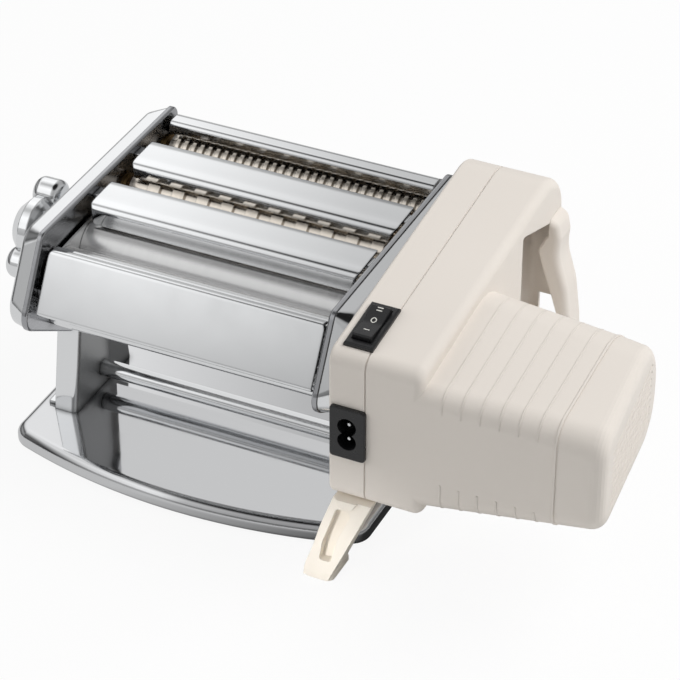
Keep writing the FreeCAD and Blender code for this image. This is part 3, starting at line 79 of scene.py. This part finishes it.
# The floor in reflections glows with a painted shade: dim up to an oval about the base, in metres, and paler
# at a multiple of that oval
FLOOR_SHADE_PLACE = (-0.0585, -0.0095)
FLOOR_SHADE_REACH = (0.104, 0.073)
FLOOR_SHADE_RANGE = (1.0, 2.0)
FLOOR_SHADE_LEVELS = (0.03, 0.70)

# The studio in reflections, as stops of place and brightness. Heights run from the horizon to straight above,
# which is dark. Sides run from the far left to the far right, and are palest left of the middle, beside a dark
# strip that outlines rounded edges
STUDIO_HEIGHTS = [
    (0.0, 0.38), (0.315, 0.50), (0.35, 0.98), (0.56, 0.95),
    (0.78, 1.05), (0.87, 0.75), (0.93, 0.05), (1.0, 0.03),
]
STUDIO_SIDES = [
    (0.0, 0.42), (0.07, 0.38), (0.12, 0.10), (0.19, 0.95), (0.27, 1.16),
    (0.29, 1.13), (0.325, 0.67), (0.42, 0.48), (0.60, 0.40), (1.0, 0.55),
]

# A painted reflection: a pale glowing card under the rollers, behind the tie rod, that only the base's
# reflections see, in metres
UNDER_PLACE = (-0.0585, -0.0015, 0.052)
UNDER_SIZE = (0.15, 0.072)
UNDER_LEVEL = 0.82

# What the floor and the card face
UP = (0.0, 0.0, 1.0)
FORWARD = (0.0, -1.0, 0.0)

# Colours, linear
CHROME_COLOR = (0.83, 0.84, 0.85)
BASE_COLOR = (0.665, 0.67, 0.68)
SATIN_COLOR = (0.76, 0.76, 0.76)
NICKEL_COLOR = (0.86, 0.79, 0.70)
STEEL_COLOR = (0.42, 0.425, 0.44)
BRONZE_COLOR = (0.50, 0.33, 0.14)
CREAM_COLOR = (0.80, 0.745, 0.685)
LEG_COLOR = (0.88, 0.82, 0.73)
BLACK_COLOR = (0.012, 0.012, 0.013)
GEAR_COLOR = (0.78, 0.77, 0.72)
IRON_COLOR = (0.06, 0.06, 0.07)
RUBBER_COLOR = (0.015, 0.015, 0.015)

# Polished pieces with a finish of their own, the uprights with painted shade on their sides. The guide bars
# are arched about a middle line, in the row frame
POLISHED = {
    "smooth_guide_bar": {"crown_middle": -6.5},
    "cutter_guide_bar": {"crown_middle": 38.0},
    "base_plate": {"color": BASE_COLOR},
    "left_upright": {"shaded_sides": True},
    "right_upright": {"shaded_sides": True},
    "right_side_cover": {"gap_shade": False},
}

# How fast the arch of a guide bar falls away, per metre
BAR_CROWN = 7.0

# Painted shade on the inner sides of the uprights, which are also rougher, and how far a face looks along x
# where that starts and is full
UPRIGHT_SIDE_SHADE = 0.32
UPRIGHT_ROUGH = 0.45
SIDE_FACING = (0.6, 0.95)

# Samples of the shaders that soften edges and paint shade into gaps
EDGE_SAMPLES = 6
GAP_SAMPLES = 12

# The switch's rocker, from the CAD: where its top lies in the row frame, and the dished shape of that top
ROCKER_PLACE = (46.8, -62.5, 136.2)
ROCKER_LEAN = math.atan(0.113)
ROCKER_LOW = 3.2
ROCKER_RISE = 1.8 / 11.8
ROCKER_DISH = 8.0

# Printed marks on the rocker, by their places along it, in millimetres
MARK_ONE = -6.2
MARK_OFF = 2.0
MARK_TWO_FRONT = 8.4
MARK_TWO_BACK = 10.2
MARK_LIFT = 0.03
MARK_THICK = 0.06
BAR_LENGTH = 3.2
BAR_WIDTH = 0.6
BAR_TIP = 0.01
BAR_STEPS = 12
RING_OUTER = 1.75
RING_INNER = 1.2
RING_SQUASH = 0.85
RING_STEPS = 32


class Tree:
    """The nodes of a material or of the world, with short helpers to add and wire them."""

    def __init__(self, owner):
        owner.use_nodes = True
        self.nodes = owner.node_tree.nodes
        self.links = owner.node_tree.links

    def feed(self, socket, value):
        """Gives an input a constant, or links an output to it."""
        if isinstance(value, bpy.types.NodeSocket):
            self.links.new(value, socket)
        else:
            socket.default_value = value

    def add(self, kind, inputs=None, **settings):
        """Adds a node with its settings, and feeds its inputs."""
        node = self.nodes.new(kind)
        for key, value in settings.items():
            setattr(node, key, value)
        for key, value in (inputs or {}).items():
            self.feed(node.inputs[key], value)
        return node

    def maths(self, operation, *values):
        node = self.add("ShaderNodeMath", dict(enumerate(values)), operation=operation)
        return node.outputs["Value"]

    def split(self, vector):
        """The x, y and z of a vector."""
        return self.add("ShaderNodeSeparateXYZ", {"Vector": vector}).outputs

    def ramp(self, value, low, high, start=0.3, end=0.7):
        """Goes from low to high as the value goes from start to end."""
        ends = {"From Min": start, "From Max": end, "To Min": low, "To Max": high}
        return self.add("ShaderNodeMapRange", {"Value": value, **ends}).outputs["Result"]

    def colors(self, value, stops):
        """A colour by a value from 0 to 1, through stops of place and colour."""
        node = self.add("ShaderNodeValToRGB", {"Fac": value})
        elements = node.color_ramp.elements
        while len(elements) < len(stops):
            elements.new(1.0)
        for element, (place, color) in zip(elements, stops):
            element.position = place
            element.color = (*color, 1.0)
        return node.outputs["Color"]

    def levels(self, value, stops):
        """A brightness by a value from 0 to 1, through stops of place and level."""
        return self.colors(value, [(place, shade(WHITE, level)) for place, level in stops])

    def with_glow(self, surface, share, level=1.0):
        """Mixes a share of white glow into a surface."""
        glow = self.add("ShaderNodeEmission", {"Strength": level}).outputs["Emission"]
        mix = self.add("ShaderNodeMixShader", {"Fac": share, 1: surface, 2: glow})
        return mix.outputs["Shader"]


class Shader(Tree):
    """A material with a Principled shader. Lengths are in millimetres."""

    def __init__(self, name, color, metallic, roughness):
        self.material = bpy.data.materials.new(name)
        super().__init__(self.material)
        self.bsdf = self.nodes["Principled BSDF"]
        self.roughness = roughness
        self.set("Base Color", (*color, 1.0))
        self.set("Metallic", metallic)
        self.set("Roughness", roughness)
        self.place = self.add("ShaderNodeTexCoord").outputs["Object"]
        self.normal = None

    def set(self, name, value):
        self.feed(self.bsdf.inputs[name], value)

    def noise(self, scale, detail=3.0, stretch=(1.0, 1.0, 1.0)):
        mapping = self.add("ShaderNodeMapping", {"Vector": self.place, "Scale": stretch})
        grain = {"Vector": mapping.outputs["Vector"], "Scale": scale, "Detail": detail}
        return self.add("ShaderNodeTexNoise", grain).outputs["Fac"]

    def tint(self, value, dark, light, start=0.35, end=0.65):
        self.set("Base Color", self.colors(value, [(start, dark), (end, light)]))

    def vary_roughness(self, value, spread):
        self.set("Roughness", self.ramp(value, self.roughness - spread, self.roughness + spread))

    def paint_gap_shade(self, color, reach, depth=0.06, start=0.25, end=0.85):
        """Painted shade: darkens the colour in narrow gaps, where little light gets in."""
        gap = self.add("ShaderNodeAmbientOcclusion", {"Distance": reach * MM}, samples=GAP_SAMPLES)
        self.tint(gap.outputs["AO"], shade(color, depth), color, start, end)

    def shade_and_roughen_sides(self, level, roughness):
        """Paints shade onto the faces that look along x, as a darker colour, and makes them rougher."""
        normal = self.add("ShaderNodeNewGeometry").outputs["True Normal"]
        side = self.maths("ABSOLUTE", self.split(normal)["X"])
        color = self.bsdf.inputs["Base Color"].links[0].from_socket
        scale = self.ramp(side, 1.0, level, *SIDE_FACING)
        side_shaded = self.add("ShaderNodeVectorMath", {0: color, "Scale": scale}, operation="SCALE")
        self.set("Base Color", side_shaded.outputs["Vector"])
        self.set("Roughness", self.ramp(side, self.roughness, roughness, *SIDE_FACING))

    def soft_edges(self, radius):
        bevel = self.add("ShaderNodeBevel", {"Radius": radius * MM}, samples=EDGE_SAMPLES)
        self.normal = bevel.outputs["Normal"]
        self.set("Normal", self.normal)

    def bump(self, value, height, strength=1.0):
        relief = {"Height": value, "Distance": height * MM, "Strength": strength}
        if self.normal is not None:
            relief["Normal"] = self.normal
        self.normal = self.add("ShaderNodeBump", relief).outputs["Normal"]
        self.set("Normal", self.normal)

    def crown(self, middle, curve):
        """Shades a flat strip as a gently arched one, about a middle line along x."""
        offset = self.maths("SUBTRACT", self.split(self.place)["Y"], middle * MM)
        self.bump(self.maths("POWER", offset, 2.0), height=-curve / MM)


def shade(color, factor):
    return tuple(channel * factor for channel in color)


def chrome(name="polished_steel", color=CHROME_COLOR, gap_shade=True, crown_middle=None, shaded_sides=False):
    """Polished sheet steel, slightly wavy and with a very fine grain. It can carry painted shade in narrow
    gaps and on the sides that look along x.
    """
    s = Shader(name, color, metallic=1.0, roughness=0.07)
    s.soft_edges(radius=1.0)
    # painted shade in narrow gaps
    if gap_shade:
        s.paint_gap_shade(color, reach=7.0)
    if shaded_sides:
        # painted shade on the sides that look along x
        s.shade_and_roughen_sides(UPRIGHT_SIDE_SHADE, UPRIGHT_ROUGH)
    else:
        s.vary_roughness(s.noise(scale=60.0, detail=5.0), spread=0.03)
    if crown_middle is not None:
        s.crown(crown_middle, BAR_CROWN)
    s.bump(s.noise(scale=22.0, detail=2.0), height=0.10, strength=0.25)
    s.bump(s.noise(scale=900.0, detail=2.0, stretch=(1.0, 0.15, 0.15)), height=0.004, strength=0.2)
    return s.material


def satin():
    """Ground steel: fine rings round the roller's axis."""
    s = Shader("satin_steel", SATIN_COLOR, metallic=0.8, roughness=0.235)
    rings = s.noise(scale=900.0, stretch=(1.0, 0.004, 0.004))
    s.vary_roughness(rings, spread=0.035)
    # painted shade in narrow gaps
    s.paint_gap_shade(SATIN_COLOR, reach=5.0, depth=0.04, start=0.1, end=0.5)
    s.bump(rings, height=0.004, strength=0.06)
    return s.material


def nickel():
    s = Shader("nickel_cutter", NICKEL_COLOR, metallic=1.0, roughness=0.2)
    s.soft_edges(radius=0.3)
    # painted shade in narrow gaps
    s.paint_gap_shade(NICKEL_COLOR, reach=4.0, depth=0.05, start=0.2, end=0.55)
    s.vary_roughness(s.noise(scale=400.0), spread=0.06)
    return s.material


def plain_steel():
    s = Shader("plain_steel", STEEL_COLOR, metallic=1.0, roughness=0.2)
    s.soft_edges(radius=0.3)
    # painted shade in narrow gaps
    s.paint_gap_shade(STEEL_COLOR, reach=12.0, depth=0.05)
    s.vary_roughness(s.noise(scale=500.0, detail=4.0, stretch=(1.0, 0.06, 1.0)), spread=0.06)
    return s.material


def bronze():
    s = Shader("bearing_bronze", BRONZE_COLOR, metallic=1.0, roughness=0.4)
    s.tint(s.noise(scale=300.0), shade(BRONZE_COLOR, 0.7), shade(BRONZE_COLOR, 1.1))
    return s.material


def moulded(name, color, roughness, edge):
    """Matt moulded plastic with a fine spark-eroded texture."""
    s = Shader(name, color, metallic=0.0, roughness=roughness)
    s.set("Specular IOR Level", 0.4)
    s.soft_edges(radius=edge)
    s.tint(s.noise(scale=9.0, detail=2.0), shade(color, 0.985), shade(color, 1.01))
    s.vary_roughness(s.noise(scale=250.0), spread=0.06)
    s.bump(s.noise(scale=1900.0), height=0.05, strength=0.35)
    return s.material


def black_plastic():
    s = Shader("black_plastic", BLACK_COLOR, metallic=0.0, roughness=0.32)
    s.soft_edges(radius=0.35)
    s.vary_roughness(s.noise(scale=350.0), spread=0.08)
    s.bump(s.noise(scale=1500.0, detail=2.0), height=0.02, strength=0.3)
    return s.material


def iron():
    """Stacked sheets, with faint lines round the stack."""
    s = Shader("stator_iron", IRON_COLOR, metallic=0.6, roughness=0.5)
    sheets = s.noise(scale=900.0, detail=2.0, stretch=(1.0, 0.02, 0.02))
    s.tint(sheets, shade(IRON_COLOR, 0.6), shade(IRON_COLOR, 1.3))
    return s.material


def rubber():
    s = Shader("foot_rubber", RUBBER_COLOR, metallic=0.0, roughness=0.75)
    s.bump(s.noise(scale=800.0), height=0.05, strength=0.5)
    return s.material


def make_materials():
    """One finish for each material slot of the record."""
    return {
        "polished_steel": chrome(),
        "satin_steel": satin(),
        "nickel_cutter": nickel(),
        "plain_steel": plain_steel(),
        "bearing_bronze": bronze(),
        "cream_plastic": moulded("cream_plastic", CREAM_COLOR, roughness=0.48, edge=0.6),
        "leg_plastic": moulded("leg_plastic", LEG_COLOR, roughness=0.45, edge=0.6),
        "black_plastic": black_plastic(),
        "gear_plastic": moulded("gear_plastic", GEAR_COLOR, roughness=0.4, edge=0.2),
        "stator_iron": iron(),
        "foot_rubber": rubber(),
    }


def dress_nodes(frame, materials):
    """Gives every solid the finish of its record slot, and some polished pieces their own."""
    for part in frame["record"]["subparts"]:
        node = part["node"]
        material = materials[part["material_slot"]]
        if node in POLISHED:
            material = chrome("polished_" + node, **POLISHED[node])
        solid = frame["nodes"][node]
        solid.data.materials.clear()
        solid.data.materials.append(material)


def rocker_point(side, along):
    """A point just above the rocker's dished top, given across and along the rocker in millimetres."""
    turn = math.atan(ROCKER_RISE)
    height = ROCKER_LOW + ROCKER_RISE * abs(along)
    if abs(along) < ROCKER_DISH * math.tan(turn):
        height = ROCKER_LOW + ROCKER_DISH / math.cos(turn) - math.sqrt(ROCKER_DISH ** 2 - along ** 2)
    point = Matrix.Rotation(ROCKER_LEAN, 3, "X") @ Vector((side, along, height + MARK_LIFT))
    return (point + Vector(ROCKER_PLACE)) * MM


def rocker_mark(name, edges, material, closed=False):
    """A printed mark on the rocker: a strip between pairs of edge points."""
    points = [rocker_point(*corner) for pair in edges for corner in pair]
    count = len(edges)
    steps = count if closed else count - 1
    faces = []
    for step in range(steps):
        after = (step + 1) % count
        faces.append((2 * step, 2 * step + 1, 2 * after + 1, 2 * after))
    mesh = bpy.data.meshes.new(name)
    mesh.from_pydata(points, [], faces)
    mesh.materials.append(material)
    mark = bpy.data.objects.new(name, mesh)
    bpy.context.scene.collection.objects.link(mark)
    solid = mark.modifiers.new("thick", "SOLIDIFY")
    solid.thickness = MARK_THICK * MM
    solid.offset = 0.0
    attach(mark, "rocker")


def bar_edges(along):
    """Edge points of a round-ended bar across the rocker."""
    edges = []
    for step in range(BAR_STEPS + 1):
        side = -math.cos(math.pi * step / BAR_STEPS) * BAR_LENGTH / 2.0
        reach = BAR_LENGTH / 2.0 - abs(side)
        half = BAR_WIDTH / 2.0
        if reach < half:
            half = max(math.sqrt(half ** 2 - (half - reach) ** 2), BAR_TIP)
        edges.append(((side, along - half), (side, along + half)))
    return edges


def ring_edges(along):
    """Edge points of a slightly narrow ring."""
    edges = []
    for step in range(RING_STEPS):
        turn = 2.0 * math.pi * step / RING_STEPS
        side = RING_SQUASH * math.cos(turn)
        rise = math.sin(turn)
        edges.append([(radius * side, along + radius * rise) for radius in (RING_OUTER, RING_INNER)])
    return edges


def make_switch_marks(material):
    rocker_mark("switch_mark_one", bar_edges(MARK_ONE), material)
    rocker_mark("switch_mark_off", ring_edges(MARK_OFF), material, closed=True)
    rocker_mark("switch_mark_two_front", bar_edges(MARK_TWO_FRONT), material)
    rocker_mark("switch_mark_two_back", bar_edges(MARK_TWO_BACK), material)


def floor_shade(tree, place):
    """Painted shade on the floor's glow in reflections: dim beside the base, paler further out."""
    oval = {"Vector": place, "Location": (*FLOOR_SHADE_PLACE, 0.0), "Scale": (*FLOOR_SHADE_REACH, 1.0)}
    mapping = tree.add("ShaderNodeMapping", oval, vector_type="TEXTURE")
    distance = tree.add("ShaderNodeVectorMath", {0: mapping.outputs["Vector"]}, operation="LENGTH")
    return tree.ramp(distance.outputs["Value"], *FLOOR_SHADE_LEVELS, *FLOOR_SHADE_RANGE)


def floor_material():
    """White to the camera, still with the object's soft shadow, and glowing in reflections with a painted
    shade about the base.
    """
    s = Shader("floor", FLOOR_COLOR, metallic=0.0, roughness=FLOOR_ROUGH)
    s.set("Specular IOR Level", 0.0)
    rays = s.add("ShaderNodeLightPath").outputs
    surface = s.with_glow(s.bsdf.outputs["BSDF"], rays["Is Glossy Ray"], floor_shade(s, s.place))
    for ray in ("Is Transmission Ray", "Is Camera Ray"):
        surface = s.with_glow(surface, s.maths("MULTIPLY", rays[ray], FLOOR_GLOW))
    s.feed(s.nodes["Material Output"].inputs["Surface"], surface)
    return s.material


def card_material(name, level):
    material = bpy.data.materials.new(name)
    tree = Tree(material)
    glow = tree.add("ShaderNodeEmission", {"Strength": level}).outputs["Emission"]
    tree.feed(tree.nodes["Material Output"].inputs["Surface"], glow)
    return material


def plane(name, center, normal, size, material):
    """Flat rectangle of the stage, facing along a normal."""
    half_w, half_h = (length / 2.0 for length in size)
    corners = [(-half_w, -half_h, 0), (half_w, -half_h, 0), (half_w, half_h, 0), (-half_w, half_h, 0)]
    mesh = bpy.data.meshes.new(name)
    mesh.from_pydata(corners, [], [(0, 1, 2, 3)])
    mesh.materials.append(material)
    thing = bpy.data.objects.new(name, mesh)
    thing.location = center
    thing.rotation_euler = Vector(normal).to_track_quat("Z", "Y").to_euler()
    bpy.context.scene.collection.objects.link(thing)
    return thing


def make_painted_reflection_card():
    """A painted reflection: a pale glowing card that lights nothing and only reflections see."""
    card = plane("painted_reflection_card", UNDER_PLACE, FORWARD, UNDER_SIZE, card_material("painted_reflection_card", UNDER_LEVEL))
    card.visible_camera = False
    card.visible_diffuse = False
    card.visible_shadow = False


def area_light(name, center, target, side, power, spread=WIDE_SPREAD):
    """A square lamp that lights surfaces and does not show in reflections."""
    light = bpy.data.lights.new(name, "AREA")
    light.size = side
    light.energy = power
    light.spread = math.radians(spread)
    lamp = bpy.data.objects.new(name, light)
    lamp.location = center
    lamp.rotation_euler = (Vector(target) - Vector(center)).to_track_quat("-Z", "Y").to_euler()
    lamp.visible_glossy = False
    lamp.visible_camera = False
    bpy.context.scene.collection.objects.link(lamp)


def studio_glow(tree):
    """Brightness of the studio by direction, for reflections."""
    direction = tree.split(tree.add("ShaderNodeTexCoord").outputs["Generated"])
    heights = tree.levels(direction["Z"], STUDIO_HEIGHTS)
    across = tree.ramp(direction["X"], low=0.0, high=1.0, start=-1.0, end=1.0)
    sides = tree.levels(across, STUDIO_SIDES)
    return tree.maths("MULTIPLY", heights, sides)


def make_world():
    """Plain fill for diffuse surfaces, white for the camera, and the studio for reflections."""
    world = bpy.data.worlds.new("studio")
    bpy.context.scene.world = world
    tree = Tree(world)
    rays = tree.add("ShaderNodeLightPath").outputs
    fill = {"Factor": rays["Is Glossy Ray"], "A": WORLD_FILL, "B": studio_glow(tree)}
    reflected = tree.add("ShaderNodeMix", fill).outputs["Result"]
    seen = tree.maths("MAXIMUM", rays["Is Camera Ray"], rays["Is Transmission Ray"])
    background = tree.nodes["Background"].inputs
    tree.feed(background["Color"], (*WHITE, 1.0))
    tree.feed(background["Strength"], tree.maths("MAXIMUM", seen, reflected))


def make_camera():
    camera = bpy.data.cameras.new("photo_view")
    camera.lens = CAMERA_LENS
    camera.sensor_width = CAMERA_SENSOR
    camera.sensor_fit = "HORIZONTAL"
    camera.clip_end = CAMERA_FAR
    viewer = bpy.data.objects.new("photo_view", camera)
    viewer.location = [value * MM for value in CAMERA_PLACE]
    viewer.rotation_euler = (math.radians(90.0 - CAMERA_ELEVATION), 0.0, math.radians(CAMERA_AZIMUTH))
    bpy.context.scene.collection.objects.link(viewer)
    bpy.context.scene.camera = viewer


def make_studio():
    plane("floor", (0.0, 0.0, 0.0), UP, (FLOOR_SIZE, FLOOR_SIZE), floor_material())
    for name, lamp in LAMPS.items():
        area_light(name, **lamp)
    make_painted_reflection_card()


def main():
    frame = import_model()
    bpy.context.scene.view_settings.view_transform = "Standard"
    bpy.context.scene.cycles.glossy_bounces = GLOSSY_BOUNCES
    materials = make_materials()
    dress_nodes(frame, materials)
    make_switch_marks(materials["gear_plastic"])
    make_world()
    make_camera()
    make_studio()


main()
